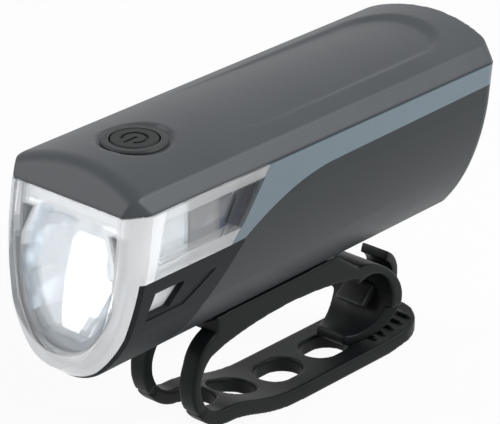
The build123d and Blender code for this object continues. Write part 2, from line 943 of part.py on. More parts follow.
def make_usb_cover():
    flap = (lower_form(0) - lower_form(flap_thickness)) & flap_prism(0)
    plug_range = (socket_skin - flap_thickness - flap_plug_length, socket_skin - flap_thickness / 2)
    return flap + socket_prism(socket_width - 2 * soft_gap, socket_height - 2 * soft_gap, plug_range)


def make_cover_seal():
    inset = body_wall + fit_gap
    outside = cover_form(inset) + seam_prism(inset, -seam_gap, 0)
    hollow = seam_prism(inset + cover_seal_width, -overrun, overrun)
    wide = (-body_width, body_width)
    return outside & block(wide, (-overrun, body_length), (-seam_gap, cover_seal_height)) - hollow


def make_lens_seal():
    band = lower_form(body_wall + fit_gap) - lower_form(body_wall + fit_gap + lens_seal_width)
    return band & block(
        (-body_width, body_width),
        (lens_sleeve_rear, lens_sleeve_rear + lens_seal_length),
        (-deep, -lens_side_depth - seam_gap),
    )


def key_block(gap):
    """Thick part of the underside that holds the key slot."""
    x = key_half_width + fit_gap + key_block_side + gap
    roof = fit_gap + key_block_roof + gap - key_top_depth
    return block(
        (-x, x), (slot_front - key_block_end - gap, slot_rear + key_block_end + gap), (-deep, roof)
    )


def key_slot():
    """T slot with a pocket at its rear, where the key's head can drop out."""
    head = key_half_width + fit_gap
    neck = key_neck_half_width + fit_gap
    top = fit_gap - key_top_depth
    slot = block((-head, head), (slot_front, slot_rear), (head_bottom - fit_gap, top))
    slot += block((-neck, neck), (slot_front, slot_rear), (-deep, top))
    return slot + block((-head, head), (pocket_front, slot_rear), (-deep, top))


def make_lower_housing():
    outside = below_seam(lower_form(0), seam_gap)
    shell = outside - lower_form(body_wall)
    wide = (-body_width, body_width)
    ledge = outside - lower_form(body_wall + fit_gap + cover_seal_width)
    shell += ledge & block(wide, (0, body_length), (-seam_gap - ledge_height, -seam_gap))
    stop_front = lens_sleeve_rear + lens_seal_length
    stop = outside - lower_form(body_wall + fit_gap + lens_seal_width)
    shell += stop & block(wide, (stop_front, stop_front + stop_length), (-deep, -lens_side_depth))
    pad = outside - lower_form(flap_pad_thickness)
    pad_x = flap_width / 2 + flap_pad_margin
    pad_z = flap_height / 2 + flap_pad_margin
    pad_height = (-socket_depth - pad_z, pad_z - socket_depth)
    shell += pad & block((-pad_x, pad_x), (cell_rear, body_length), pad_height)
    shell += outside & key_block(0)
    shell -= across(lens_region(), body_width)
    shell -= across(frame_region(), body_width)
    shell -= (lower_form(-seam_gap) - lower_form(trim_thickness)) & across(trim_region(), body_width)
    shell -= (lower_form(-seam_gap) - lower_form(flap_thickness)) & flap_prism(flap_gap)
    shell -= socket_prism(
        socket_width + 2 * fit_gap, socket_height + 2 * fit_gap, (socket_rear, body_length + overrun)
    )
    return shell - key_slot()


def base_prism():
    """Block between the lamp's underside and the saddle, before its top is shaped."""
    wide = (-base_half_width, base_half_width)
    return block(wide, (base_front, base_rear), (-base_bottom_depth, head_bottom))


def make_mount_base():
    base = base_prism() - lower_form(-base_gap)
    neck = (-key_neck_half_width, key_neck_half_width)
    head = (-key_half_width, key_half_width)
    base += block(neck, (key_front, key_rear), (-base_bottom_depth, head_bottom))
    return base + block(head, (key_front, key_rear), (head_bottom, -key_top_depth))


def disc_face(y, depth, radius):
    """Round face in the side view."""
    return Plane.YZ * Pos(y, -depth) * Circle(radius)


def wedge_face(start, stop):
    """Side-view wedge at the loop's centre between two angles up from the rear."""
    reach = 3 * loop_outer_radius
    steps = [math.radians(start + share * (stop - start)) for share in (0, 0.5, 1)]
    rim = [(loop_centre + reach * math.cos(turn), reach * math.sin(turn) - loop_depth) for turn in steps]
    return side_face([(loop_centre, -loop_depth)] + rim)


def loop_face(start, stop):
    """Stretch of the strap's loop, thicker to the rear and bottom, between two angles."""
    ring = disc_face(loop_outer_centre, loop_outer_depth, loop_outer_radius)
    ring -= disc_face(loop_centre, loop_depth, loop_inner_radius)
    return ring & wedge_face(start, stop)


def saddle_face():
    """Side view of the saddle between the lamp and the arch over the handlebar."""
    arch_start = (loop_centre, loop_inner_radius - loop_depth)
    arch_end = (saddle_arch_end, -saddle_arch_end_depth)
    outer_drop = math.sqrt(loop_outer_radius**2 - (loop_outer_centre - saddle_front) ** 2)
    front = (saddle_front, outer_drop - loop_outer_depth)
    brow = (saddle_brow, -saddle_brow_depth)
    rest = Polyline(
        arch_end,
        (saddle_heel, -saddle_heel_depth),
        (saddle_rear, -saddle_rear_depth),
        (saddle_brow, -saddle_rear_depth),
        brow,
    )
    shoulder = ThreePointArc(brow, (saddle_shoulder, -saddle_shoulder_depth), front)
    arch = ThreePointArc(arch_start, (arch_crown, -arch_crown_depth), arch_end)
    return Plane.YZ * make_face(arch + rest + shoulder + Line(front, arch_start))


def curl_face():
    """Side view of the curl behind the saddle, down to the tip of its tongue."""
    tip = (tongue_tip, -tongue_tip_depth)
    heel = (saddle_heel, -saddle_heel_depth)
    back = Spline(
        heel,
        (curl_shoulder, -curl_shoulder_depth),
        (curl_rear, -curl_rear_depth),
        (curl_heel, -curl_heel_depth),
        (tongue_root, -tongue_root_depth),
        tip,
    )
    rest = Polyline(
        tip,
        (tongue_tip, tongue_tip_thickness - tongue_tip_depth),
        (curl_centre, -curl_depth),
        (saddle_arch_end, -saddle_arch_end_depth),
        heel,
    )
    return Plane.YZ * make_face(back + rest) - disc_face(curl_centre, curl_depth, curl_radius)


def arm_gap_cut():
    """Gap between the two arms, with a round end."""
    straight = arm_fork - arm_gap
    slot = block((-arm_gap, arm_gap), (-overrun, straight), (-tail_bottom_depth - overrun, head_bottom))
    return slot + upright(2 * arm_gap, -tail_bottom_depth - overrun, head_bottom, y=straight)


def tongue_taper():
    """What is cut away beside the tongue, on both sides."""
    outline = Polyline(
        (half_strap, tongue_taper_rear),
        (tongue_tip_half_width, tongue_tip),
        (tongue_tip_half_width, tongue_tip - overrun),
        (half_strap + overrun, tongue_tip - overrun),
        (half_strap + overrun, tongue_taper_rear),
        close=True,
    )
    side = Pos(0, 0, -tail_bottom_depth) * extrude(
        make_face(outline), amount=tail_bottom_depth - tongue_taper_depth
    )
    return side + mirror(side, Plane.YZ)


def bridge_prism():
    """Bar of the hook through the curl's rear wall."""
    wide = (-hook_half_width, hook_half_width)
    return block(wide, (curl_centre, hook_foot), (-hook_bridge_bottom, -hook_bridge_top))


def make_strap_saddle():
    face = saddle_face() + curl_face() + loop_face(90, tail_split_angle)
    saddle = across(face, half_strap) - arm_gap_cut() - tongue_taper()
    saddle -= lower_form(-soft_gap)
    return saddle - base_prism() - bridge_prism()


def rise_point(root, flat):
    """Point between the tail's root and its flat stretch."""
    return (tail_rise, root[1] + tail_rise_share * (flat[1] - root[1]))


def tail_face():
    """Side view of the strap's tail, from the split in the loop to its free end."""
    root_top = (loop_centre, -loop_depth - loop_inner_radius)
    drop = math.sqrt(loop_outer_radius**2 - (loop_centre - loop_outer_centre) ** 2)
    root_bottom = (loop_centre, -loop_outer_depth - drop)
    front_top = (tail_flat_front, -tail_top_depth)
    front_bottom = (tail_flat_front, -tail_bottom_depth)
    end_top = tail_end_rise - tail_top_depth
    top = Spline(root_top, rise_point(root_top, front_top), front_top, tangents=[(1, 0), (1, 0)])
    bottom = Spline(
        front_bottom, rise_point(root_bottom, front_bottom), root_bottom, tangents=[(-1, 0), (-1, 0)]
    )
    rest = Polyline(
        front_top,
        (tail_flat_rear, -tail_top_depth),
        (tail_end, end_top),
        (tail_end, end_top - tail_end_thickness),
        (tail_flat_rear, -tail_bottom_depth),
        front_bottom,
    )
    return Plane.YZ * make_face(top + rest + bottom + Line(root_bottom, root_top))


def tail_rib(y):
    """One grip rib across the tail's top."""
    slope = tail_end_rise / (tail_end - tail_flat_rear)
    top = max(0, y - tail_flat_rear) * slope - tail_top_depth
    half = rib_length / 2
    y_range = (y - rib_width / 2, y + rib_width / 2)
    return block((-half, half), y_range, (top - rib_height, top + rib_height))


def make_strap_tail():
    clear = math.degrees(soft_gap / loop_inner_radius)
    face = tail_face() + loop_face(tail_split_angle + clear, 270)
    tail = across(face, half_strap) - arm_gap_cut()
    straight = tail_end - half_strap
    plan = block((-half_strap, half_strap), (0, straight), (-tail_bottom_depth, 0))
    tail = tail & (plan + upright(2 * half_strap, -tail_bottom_depth, 0, y=straight))
    for index in range(hole_count):
        slot = Pos(0, hole_first + index * hole_pitch) * Rot(Z=90) * SlotOverall(hole_length, hole_width)
        tail -= Pos(0, 0, -tail_bottom_depth - overrun) * extrude(slot, amount=2 * overrun)
    for index in range(rib_count):
        tail += tail_rib(rib_first + index * rib_pitch)
    return tail


def make_strap_hook():
    outer = [
        (hook_top, -hook_top_depth),
        (hook_bend, -hook_bend_depth),
        (hook_rear, -hook_rear_depth),
        (hook_foot, -hook_foot_depth),
    ]
    lean_shares = [(0.35, 1.0), (0.85, 0.5), (1.0, 0.0), (0.95, -0.25)]
    inner = [
        (y - y_share * hook_thickness, z - z_share * hook_thickness)
        for (y, z), (y_share, z_share) in zip(outer, lean_shares)
    ]
    sides = Spline(*outer) + Spline(*inner[::-1])
    stem = make_face(sides + Line(outer[-1], inner[-1]) + Line(inner[0], outer[0]))
    neck = curl_centre + math.sqrt(curl_radius**2 - (hook_bridge_bottom - curl_depth) ** 2) - fit_gap
    claw = make_face(Polyline(
        (neck, -hook_bridge_top),
        (claw_tip, -claw_tip_depth),
        (claw_heel, -claw_heel_depth),
        (neck, -hook_bridge_bottom),
        close=True,
    ))
    bar = make_face(Polyline(
        (neck, -hook_bridge_top),
        (hook_rear - hook_thickness, -hook_bridge_top),
        (hook_rear - hook_thickness, -hook_bridge_bottom),
        (neck, -hook_bridge_bottom),
        close=True,
    ))
    return across(Plane.YZ * (stem + bar + claw), hook_half_width)


PIECES = {
    "top_cover": make_top_cover,
    "lower_housing": make_lower_housing,
    "front_frame": make_front_frame,
    "side_trim_left": lambda: make_side_trim(-1),
    "side_trim_right": lambda: make_side_trim(1),
    "front_lens": make_front_lens,
    "lens_seal": make_lens_seal,
    "cover_seal": make_cover_seal,
    "reflector": make_reflector,
    "optic_carrier": make_optic_carrier,
    "led_emitter": make_led_emitter,
    "led_board": make_led_board,
    "heat_sink": make_heat_sink,
    "main_board": make_main_board,
    "board_screws": make_board_screws,
    "tactile_switch": make_tactile_switch,
    "switch_plunger": make_switch_plunger,
    "power_button": make_power_button,
    "button_seal": make_button_seal,
    "usb_socket": make_usb_socket,
    "charge_board": make_charge_board,
    "usb_cover": make_usb_cover,
    "battery_cell": make_battery_cell,
    "battery_cradle": make_battery_cradle,
    "cell_contacts": make_cell_contacts,
    "battery_leads": make_battery_leads,
    "mount_base": make_mount_base,
    "strap_saddle": make_strap_saddle,
    "strap_hook": make_strap_hook,
    "strap_tail": make_strap_tail,
}

for name, make in PIECES.items():
    export_step(FRAME * make(), f"parts/{name}.step")
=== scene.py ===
import math

import bmesh
import bpy
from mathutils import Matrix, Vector


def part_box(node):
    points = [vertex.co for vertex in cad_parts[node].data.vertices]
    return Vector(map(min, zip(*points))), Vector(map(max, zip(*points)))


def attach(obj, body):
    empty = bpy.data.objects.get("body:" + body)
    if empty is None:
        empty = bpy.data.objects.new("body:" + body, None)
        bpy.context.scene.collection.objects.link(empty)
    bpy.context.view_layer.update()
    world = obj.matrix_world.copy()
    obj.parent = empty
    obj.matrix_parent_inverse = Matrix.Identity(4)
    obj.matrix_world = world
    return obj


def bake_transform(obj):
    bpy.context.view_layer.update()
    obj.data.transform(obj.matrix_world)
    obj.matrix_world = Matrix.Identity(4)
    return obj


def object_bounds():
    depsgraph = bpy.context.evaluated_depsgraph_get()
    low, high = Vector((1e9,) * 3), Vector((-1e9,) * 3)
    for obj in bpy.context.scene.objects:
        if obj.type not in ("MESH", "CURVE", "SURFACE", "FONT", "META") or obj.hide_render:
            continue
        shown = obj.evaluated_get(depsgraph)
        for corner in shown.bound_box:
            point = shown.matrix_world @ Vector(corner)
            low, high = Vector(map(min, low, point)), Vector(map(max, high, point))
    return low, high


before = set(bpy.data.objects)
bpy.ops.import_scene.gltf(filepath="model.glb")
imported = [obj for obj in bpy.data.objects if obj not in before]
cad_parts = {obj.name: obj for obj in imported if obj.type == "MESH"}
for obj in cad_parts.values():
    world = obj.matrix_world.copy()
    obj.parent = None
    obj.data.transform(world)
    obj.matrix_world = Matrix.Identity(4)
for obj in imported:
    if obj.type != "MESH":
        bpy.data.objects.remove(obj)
cad_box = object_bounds()

# Front edge of the seam under the top cover, in the lamp's middle
cover_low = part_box("top_cover")[0]
SEAM_FRONT = Vector((0.0, cover_low[1], cover_low[2]))

# Colours, linear
COVER_GREY = (0.061, 0.068, 0.076)
HOUSING_GREY = (0.029, 0.034, 0.037)
FRAME_GREY = (0.019, 0.022, 0.024)
TRIM_BLUE = (0.15, 0.195, 0.226)
STRAP_BLACK = (0.0072, 0.008, 0.0086)
HOOK_BLACK = (0.011, 0.012, 0.013)
BUTTON_BLACK = (0.0115, 0.0125, 0.0135)
# The button ring's grey is lighter than the button's, a painted highlight
RING_GREY_PAINTED_HIGHLIGHT = (0.02, 0.0215, 0.023)
CARRIER_GREY = (0.17, 0.18, 0.19)
MIRROR_WHITE = (0.95, 0.965, 0.985)
# Painted reflection shade: bluish grey for reflector facets that face sideways, in place of the reflections
# they would show
MIRROR_PAINTED_SHADE = (0.88, 0.93, 0.97)
PLATE_GREY = (0.36, 0.39, 0.42)
LENS_WHITE = (0.96, 0.975, 0.99)
LENS_SHADE = (0.92, 0.935, 0.95)
PHOSPHOR_YELLOW = (0.85, 0.7, 0.15)
BOARD_WHITE = (0.8, 0.8, 0.78)
BOARD_GREEN = (0.02, 0.14, 0.06)
ALUMINIUM = (0.75, 0.76, 0.78)
PLATED = (0.62, 0.62, 0.6)
WRAP_BLUE = (0.03, 0.1, 0.3)
LEAD_RED = (0.4, 0.02, 0.015)
WHITE = (1.0, 1.0, 1.0)

# Surface grain: sizes and rise in metres, and how many finer layers the grain and other noises have
FINE_GRAIN = 0.00022
RUBBER_GRAIN = 0.0004
GRAIN_RISE = 0.00001
GRAIN_DETAIL = 3.0
BLOTCH = 0.012
NOISE_DETAIL = 2.0

# Moulded finishes: colour, roughness, specular level, grain size, and shares of rise and colour change
FINISHES = {
    "cover": (COVER_GREY, 0.42, 0.3, FINE_GRAIN, 1.0, 0.05),
    "housing": (HOUSING_GREY, 0.4, 0.25, FINE_GRAIN, 1.0, 0.05),
    "frame": (FRAME_GREY, 0.55, 0.1, FINE_GRAIN, 1.0, 0.05),
    "trim": (TRIM_BLUE, 0.4, 0.3, FINE_GRAIN, 0.5, 0.03),
    "button": (BUTTON_BLACK, 0.55, 0.25, FINE_GRAIN, 1.0, 0.05),
    # Ring: its lighter grey is a painted highlight
    "ring": (RING_GREY_PAINTED_HIGHLIGHT, 0.5, 0.35, FINE_GRAIN, 1.0, 0.05),
    "flap": (BUTTON_BLACK, 0.6, 0.3, FINE_GRAIN, 1.0, 0.05),
    "carrier": (CARRIER_GREY, 0.4, 0.5, FINE_GRAIN, 0.5, 0.05),
    "phosphor": (PHOSPHOR_YELLOW, 0.25, 0.5, FINE_GRAIN, 0.2, 0.05),
    "white_board": (BOARD_WHITE, 0.4, 0.5, FINE_GRAIN, 0.3, 0.05),
    "green_board": (BOARD_GREEN, 0.35, 0.5, FINE_GRAIN, 0.3, 0.05),
    "switch": (BUTTON_BLACK, 0.4, 0.5, FINE_GRAIN, 0.3, 0.05),
    "wrap": (WRAP_BLUE, 0.3, 0.5, FINE_GRAIN, 0.3, 0.05),
    "cradle": (HOUSING_GREY, 0.5, 0.5, FINE_GRAIN, 1.0, 0.05),
    "lead": (LEAD_RED, 0.45, 0.5, FINE_GRAIN, 0.3, 0.05),
    "seal": (BUTTON_BLACK, 0.6, 0.5, FINE_GRAIN, 1.0, 0.05),
    "strap": (STRAP_BLACK, 0.42, 0.13, RUBBER_GRAIN, 1.0, 0.1),
    "hook": (HOOK_BLACK, 0.45, 0.25, FINE_GRAIN, 1.0, 0.05),
}
# Where along the noise the darker colour ends and the lighter one starts
TONE_SHARES = (0.35, 0.65)
MOULD_GLOSS_SHARE = 0.07

# Metals: colour and roughness
METALS = {"aluminium": (ALUMINIUM, 0.35), "plated": (PLATED, 0.25)}
METAL_GLOSS_SHARE = 0.2

# Metal film on the reflector: how much of it is metal, and its roughness from place to place
FILM_METAL_SHARE = 0.75
FILM_ROUGHNESS = (0.05, 0.09)

# Plate round the scoop's mouth: the face's lean in degrees, then its back, top and soft edge in metres
FACE_LEAN = 8.3
PLATE_BACK = 0.0033
PLATE_TOP = -0.0125
PLATE_FADE = 0.0002

# Clear lens: how much it bends light, its roughness, haze and cover where clear and frosted, and streaks
LENS_IOR = 1.3
LENS_ROUGHNESS = (0.01, 0.04)
LENS_HAZE_SHARES = (0.05, 0.74)
LENS_COVER_SHARES = (0.5, 1.0)
STREAK_WIDTH = 0.0016
STREAK_SHARES = (1.0, 1.0, 0.12)

# Clear face of the lens: an arch that hangs from its shoulders, metres from the seam
ARCH_HALF_WIDTH = 0.0127
ARCH_SHOULDER = -0.015
ARCH_DROP = 0.014
ARCH_FADE_SHARE = 0.04

# Clear window in each wing: its front edge leans back as it rises, with a hazier strip above and below
WINDOW_FRONT = 0.0083
WINDOW_LEAN_SHARE = 0.235
WINDOW_MIDDLE = -0.00615
WINDOW_HALF_HEIGHT = 0.0041
WINDOW_STRIP_SHARE = 0.5
WING_BOTTOM = -0.0132
WING_FADE = 0.0006

# Softened edges of moulded rubber and plastic: mesh size in metres, smoothing passes and their strength
RUBBER_VOXEL = 0.00028
COVER_VOXEL = 0.0003
RUBBER_PASSES = 10
COVER_PASSES = 8
PASS_SHARE = 0.5

# Strap's loop in front of the bar, metres back and up from the seam's front edge, and its two arms
LOOP_CENTRE = (0.033, -0.0457)
LOOP_RADIUS = 0.0068
LOOP_OUTER_CENTRE = (0.0338, -0.0459)
LOOP_OUTER_RADIUS = 0.0099
ARM_MIDDLE = 0.0063
ARM_HALF_WIDTH = 0.00205

# Rubber that runs through the strap's split, and where along it the bend starts and ends, in degrees
BRIDGE_ANGLES = (206.0, 227.0)
BRIDGE_RINGS = 15
BRIDGE_INSET = 0.00008
CORNER_POWER = 0.55

# Points round each ring of a bridge or rib, and their angles
RING_POINTS = 20
RING_TURNS = [2 * math.pi * index / RING_POINTS for index in range(RING_POINTS)]

# Grip ribs across the strap's free end, metres
RIB_COUNT = 5
RIB_PITCH = 0.0026
RIB_START = 0.0146
RIB_HALF_LENGTH = 0.0062
RIB_HALF_WIDTH = 0.0006
RIB_HEIGHT = 0.0006
TAIL_THICKNESS = 0.0032
TAIL_SLOPE_LENGTH = 0.0126
TAIL_SLOPE_SHARE = 0.111
# Along a rib: place and size of each ring as shares of its half length and section
RIB_RING_SHARES = [
    (-1.0, 0.1), (-0.97, 0.6), (-0.9, 0.87), (-0.8, 1.0), (0.8, 1.0), (0.9, 0.87), (0.97, 0.6), (1.0, 0.1)
]

# Camera: degrees round from the front and up, metres away and aside, lens and sensor in millimetres
VIEW_AZIMUTH = 41.969
VIEW_ELEVATION = 24.689
VIEW_DISTANCE = 0.59073
VIEW_RIGHT = 0.032676
VIEW_UP = -0.002482
LENS_LENGTH = 239.37
SENSOR_WIDTH = 36.0

# Stage: floor, surroundings, and each lamp's place and size in metres and its power in watts
FLOOR_SIZE = 3.0
FLOOR_GREY = (0.9, 0.9, 0.9)
FLOOR_WHITE_SHARE = 0.93
WORLD_STRENGTH = 0.36
LAMPS = {
    "key": ((0.55, 0.3, 0.5), (0.4, 0.4), 4.4),
    "fill": ((-0.45, -0.5, 0.4), (0.4, 0.4), 2.0),
}


def opaque(colour):
    """Colour with full cover."""
    return (*colour, 1.0)


def new_material(name):
    """Node material with its shader, ready for inputs."""
    made = bpy.data.materials.new(name)
    made.use_nodes = True
    return made, made.node_tree, made.node_tree.nodes["Principled BSDF"]


def noise(tree, size, detail=NOISE_DETAIL, stretch=(1.0, 1.0, 1.0)):
    """Noise texture with features about size across, in the object's own metres."""
    place = tree.nodes.new("ShaderNodeTexCoord")
    scale = tree.nodes.new("ShaderNodeVectorMath")
    scale.operation = "MULTIPLY"
    scale.inputs[1].default_value = stretch
    tree.links.new(place.outputs["Object"], scale.inputs[0])
    texture = tree.nodes.new("ShaderNodeTexNoise")
    texture.inputs["Scale"].default_value = 1.0 / size
    texture.inputs["Detail"].default_value = detail
    tree.links.new(scale.outputs["Vector"], texture.inputs["Vector"])
    return texture.outputs["Fac"]


def add_bump(tree, shader, height, rise):
    """Bump from a height socket."""
    bump = tree.nodes.new("ShaderNodeBump")
    bump.inputs["Distance"].default_value = rise
    tree.links.new(height, bump.inputs["Height"])
    tree.links.new(bump.outputs["Normal"], shader.inputs["Normal"])


def spread(tree, value, low, high, start=0.0, stop=1.0):
    """Maps a socket's values from start to stop on to low to high."""
    node = tree.nodes.new("ShaderNodeMapRange")
    node.inputs["From Min"].default_value = start
    node.inputs["From Max"].default_value = stop
    node.inputs["To Min"].default_value = low
    node.inputs["To Max"].default_value = high
    tree.links.new(value, node.inputs["Value"])
    return node.outputs["Result"]


def worked_out(tree, operation, *values):
    """Result of one sum on sockets or numbers."""
    node = tree.nodes.new("ShaderNodeMath")
    node.operation = operation
    for socket, value in zip(node.inputs, values):
        if isinstance(value, bpy.types.NodeSocket):
            tree.links.new(value, socket)
        else:
            socket.default_value = value
    return node.outputs[0]


def lamp_place(tree):
    """Sockets for a point's place from the seam's front edge: across, back and up."""
    place = tree.nodes.new("ShaderNodeTexCoord")
    shift = tree.nodes.new("ShaderNodeVectorMath")
    shift.operation = "SUBTRACT"
    shift.inputs[1].default_value = SEAM_FRONT
    tree.links.new(place.outputs["Object"], shift.inputs[0])
    parts = tree.nodes.new("ShaderNodeSeparateXYZ")
    tree.links.new(shift.outputs["Vector"], parts.inputs["Vector"])
    return [parts.outputs[axis] for axis in "XYZ"]


def mixed(tree, share, first, second):
    """Colour between two, each a colour or a socket."""
    node = tree.nodes.new("ShaderNodeMix")
    node.data_type = "RGBA"
    tree.links.new(share, node.inputs["Factor"])
    for name, value in (("A", first), ("B", second)):
        socket = [entry for entry in node.inputs if entry.name == name and entry.type == "RGBA"][0]
        if isinstance(value, bpy.types.NodeSocket):
            tree.links.new(value, socket)
        else:
            socket.default_value = opaque(value)
    return [entry for entry in node.outputs if entry.type == "RGBA"][0]


def two_tone(tree, value, colour, change_share):
    """Colour that varies by a share of itself either way."""
    ramp = tree.nodes.new("ShaderNodeValToRGB")
    for stop, place, sign in zip(ramp.color_ramp.elements, TONE_SHARES, (-1, 1)):
        stop.position = place
        stop.color = opaque(part * (1 + sign * change_share) for part in colour)
    tree.links.new(value, ramp.inputs["Fac"])
    return ramp.outputs["Color"]


def gloss_range(roughness, change_share):
    """Lowest and highest roughness round a middle one."""
    return roughness * (1 - change_share), roughness * (1 + change_share)


def moulded(name):
    """Moulded plastic or rubber: fine grain, faint blotches in colour and gloss."""
    colour, roughness, specular, grain, rise_share, change_share = FINISHES[name]
    made, tree, shader = new_material(name)
    blotch = noise(tree, BLOTCH)
    gloss = spread(tree, blotch, *gloss_range(roughness, MOULD_GLOSS_SHARE))
    tree.links.new(two_tone(tree, blotch, colour, change_share), shader.inputs["Base Color"])
    tree.links.new(gloss, shader.inputs["Roughness"])
    shader.inputs["Specular IOR Level"].default_value = specular
    add_bump(tree, shader, noise(tree, grain, GRAIN_DETAIL), GRAIN_RISE * rise_share)
    return made


def metal(name):
    """Plain metal with a faint change of gloss."""
    colour, roughness = METALS[name]
    made, tree, shader = new_material(name)
    gloss = spread(tree, noise(tree, BLOTCH), *gloss_range(roughness, METAL_GLOSS_SHARE))
    shader.inputs["Base Color"].default_value = opaque(colour)
    shader.inputs["Metallic"].default_value = 1.0
    tree.links.new(gloss, shader.inputs["Roughness"])
    return made


def painted_facet_shade_share(tree):
    """Share of painted shade on a facet: how far it faces to either side, from 0 to 1."""
    place = tree.nodes.new("ShaderNodeTexCoord")
    parts = tree.nodes.new("ShaderNodeSeparateXYZ")
    tree.links.new(place.outputs["Normal"], parts.inputs["Vector"])
    return worked_out(tree, "ABSOLUTE", parts.outputs["X"])


def mouth_plate(tree):
    """One on the plate round the scoop's mouth, zero elsewhere."""
    _, back, up = lamp_place(tree)
    lean = math.radians(FACE_LEAN)
    level = worked_out(tree, "MULTIPLY", back, math.cos(lean))
    behind = worked_out(tree, "SUBTRACT", level, worked_out(tree, "MULTIPLY", up, math.sin(lean)))
    near = spread(tree, behind, 1.0, 0.0, PLATE_BACK - PLATE_FADE, PLATE_BACK)
    low = spread(tree, up, 1.0, 0.0, PLATE_TOP - PLATE_FADE, PLATE_TOP)
    return worked_out(tree, "MULTIPLY", near, low)


def metallised(name):
    """Bright metal film on moulded plastic, greyer on the plate round the scoop, with painted shade on
    sideways facets.
    """
    made, tree, shader = new_material(name)
    # Painted shade: facets that face sideways turn bluish grey, standing in for their differing reflections
    film_with_painted_shade = mixed(tree, painted_facet_shade_share(tree), MIRROR_WHITE, MIRROR_PAINTED_SHADE)
    tree.links.new(mixed(tree, mouth_plate(tree), film_with_painted_shade, PLATE_GREY), shader.inputs["Base Color"])
    shader.inputs["Metallic"].default_value = FILM_METAL_SHARE
    tree.links.new(spread(tree, noise(tree, BLOTCH), *FILM_ROUGHNESS), shader.inputs["Roughness"])
    return made


def clear_face(tree, x, z):
    """One where the lens's face is clear."""
    below = worked_out(tree, "MINIMUM", worked_out(tree, "SUBTRACT", z, ARCH_SHOULDER), 0.0)
    x_share = worked_out(tree, "DIVIDE", x, ARCH_HALF_WIDTH)
    z_share = worked_out(tree, "DIVIDE", below, ARCH_DROP)
    squares = [worked_out(tree, "MULTIPLY", share, share) for share in (x_share, z_share)]
    reach = worked_out(tree, "SQRT", worked_out(tree, "ADD", *squares))
    return spread(tree, reach, 1.0, 0.0, 1.0, 1.0 + ARCH_FADE_SHARE)


def clear_wing(tree, y, z):
    """One in the window of a wing, less in the strips above and below it."""
    edge = worked_out(tree, "SUBTRACT", y, worked_out(tree, "MULTIPLY", z, WINDOW_LEAN_SHARE))
    behind = spread(tree, edge, 0.0, 1.0, WINDOW_FRONT - WING_FADE, WINDOW_FRONT)
    above = spread(tree, z, 0.0, 1.0, WING_BOTTOM - WING_FADE, WING_BOTTOM)
    away = worked_out(tree, "ABSOLUTE", worked_out(tree, "SUBTRACT", z, WINDOW_MIDDLE))
    fade_start = WINDOW_HALF_HEIGHT - WING_FADE / 2
    strip = spread(tree, away, 1.0, WINDOW_STRIP_SHARE, fade_start, WINDOW_HALF_HEIGHT)
    return worked_out(tree, "MULTIPLY", worked_out(tree, "MULTIPLY", behind, above), strip)


def clear_plastic(name):
    """Clear plastic with a frosted body round its face and windows."""
    made, tree, shader = new_material(name)
    x, y, z = lamp_place(tree)
    clear = worked_out(tree, "MAXIMUM", clear_face(tree, x, z), clear_wing(tree, y, z))
    frost = worked_out(tree, "SUBTRACT", 1.0, clear)
    streaks = worked_out(tree, "MULTIPLY", noise(tree, STREAK_WIDTH, stretch=STREAK_SHARES), frost)
    face_haze, body_haze = LENS_HAZE_SHARES
    let_through = spread(tree, frost, 1.0 - face_haze, 1.0 - body_haze)
    tree.links.new(mixed(tree, streaks, LENS_WHITE, LENS_SHADE), shader.inputs["Base Color"])
    shader.inputs["IOR"].default_value = LENS_IOR
    tree.links.new(let_through, shader.inputs["Transmission Weight"])
    tree.links.new(spread(tree, frost, *LENS_COVER_SHARES), shader.inputs["Alpha"])
    tree.links.new(spread(tree, noise(tree, BLOTCH), *LENS_ROUGHNESS), shader.inputs["Roughness"])
    return made


def dress(material, *nodes):
    """Gives CAD nodes a material."""
    for node in nodes:
        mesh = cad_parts[node].data
        mesh.materials.clear()
        mesh.materials.append(material)


def soften(voxel, passes, *nodes):
    """Rounds the edges of moulded pieces."""
    for node in nodes:
        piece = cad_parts[node]
        remesh = piece.modifiers.new("even_mesh", "REMESH")
        remesh.mode = "VOXEL"
        remesh.voxel_size = voxel
        remesh.use_smooth_shade = True
        smooth = piece.modifiers.new("soft_edges", "SMOOTH")
        smooth.factor = PASS_SHARE
        smooth.iterations = passes


def dress_shell():
    """Cover, housing, frame, trims, button with its ring, and flap."""
    dress(moulded("cover"), "top_cover")
    dress(moulded("housing"), "lower_housing")
    dress(moulded("frame"), "front_frame")
    dress(moulded("trim"), "side_trim_left", "side_trim_right")
    dress(moulded("button"), "power_button")
    dress(moulded("ring"), "button_seal")
    dress(moulded("flap"), "usb_cover")
    soften(COVER_VOXEL, COVER_PASSES, "top_cover")


def dress_optics():
    """Lens, reflector and what lies behind them."""
    dress(clear_plastic("lens"), "front_lens")
    dress(metallised("mirror"), "reflector")
    dress(moulded("carrier"), "optic_carrier")
    dress(moulded("phosphor"), "led_emitter")
    dress(moulded("white_board"), "led_board")
    dress(metal("aluminium"), "heat_sink")


def dress_inside():
    """What the housing holds."""
    dress(moulded("green_board"), "main_board", "charge_board")
    dress(metal("plated"), "board_screws", "cell_contacts", "usb_socket")
    dress(moulded("switch"), "tactile_switch", "switch_plunger")
    dress(moulded("wrap"), "battery_cell")
    dress(moulded("cradle"), "battery_cradle")
    dress(moulded("lead"), "battery_leads")
    dress(moulded("seal"), "lens_seal", "cover_seal")


